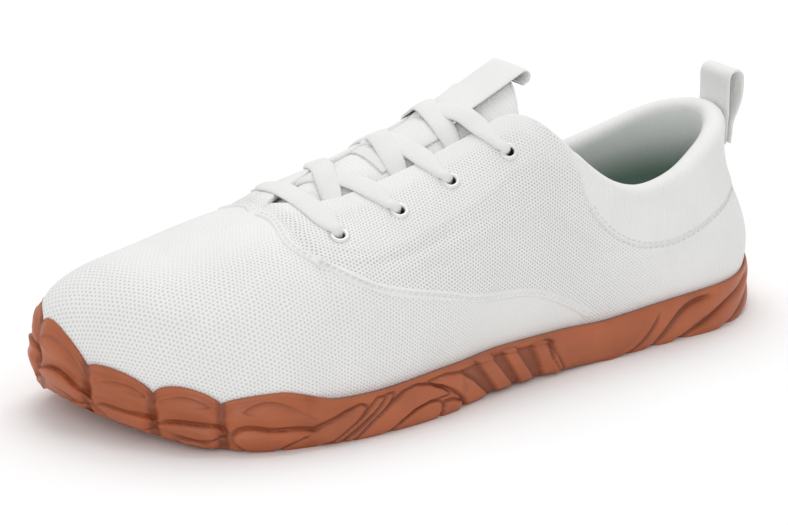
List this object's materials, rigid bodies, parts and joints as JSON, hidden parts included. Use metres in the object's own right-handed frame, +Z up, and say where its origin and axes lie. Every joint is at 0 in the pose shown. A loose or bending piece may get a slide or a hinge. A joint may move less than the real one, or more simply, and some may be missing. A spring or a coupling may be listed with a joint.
{
  "type": "barefoot shoe",
  "caption": "Left barefoot shoe: wide toe box, thin gum cup sole with swollen toe lobes and slanting side ribs, one-piece knit upper, tongue, flat lace, heel loop.",
  "frame": {"origin": "on the floor under the middle of the shoe's box", "axes": "+Y towards the heel, toe towards -Y; +X towards the outer side of this left shoe; +Z up"},
  "size_m": [0.1065, 0.2818, 0.1053],
  "materials": {
    "gum_rubber": "matt gum rubber",
    "white_knit": "off-white perforated knit",
    "grey_green_lining": "grey-green brushed fabric",
    "white_tape": "white woven tape",
    "eyelet_metal": "satin silver"
  },
  "bodies": {
    "root": {"outsole": "gum_rubber", "insole": "grey_green_lining", "upper": "white_knit", "tongue": "white_knit", "tongue_pull_tab": "white_tape", "heel_pull_loop": "white_tape", "vamp_seam_lateral": "white_tape", "vamp_seam_medial": "white_tape", "eyelet_lateral_1": "eyelet_metal", "eyelet_lateral_2": "eyelet_metal", "eyelet_lateral_3": "eyelet_metal", "eyelet_lateral_4": "eyelet_metal", "eyelet_medial_1": "eyelet_metal", "eyelet_medial_2": "eyelet_metal", "eyelet_medial_3": "eyelet_metal", "eyelet_medial_4": "eyelet_metal", "lace_bar": "white_tape", "lace_cross_1": "white_tape", "lace_cross_2": "white_tape", "lace_cross_3": "white_tape"}
  },
  "joints": []
}
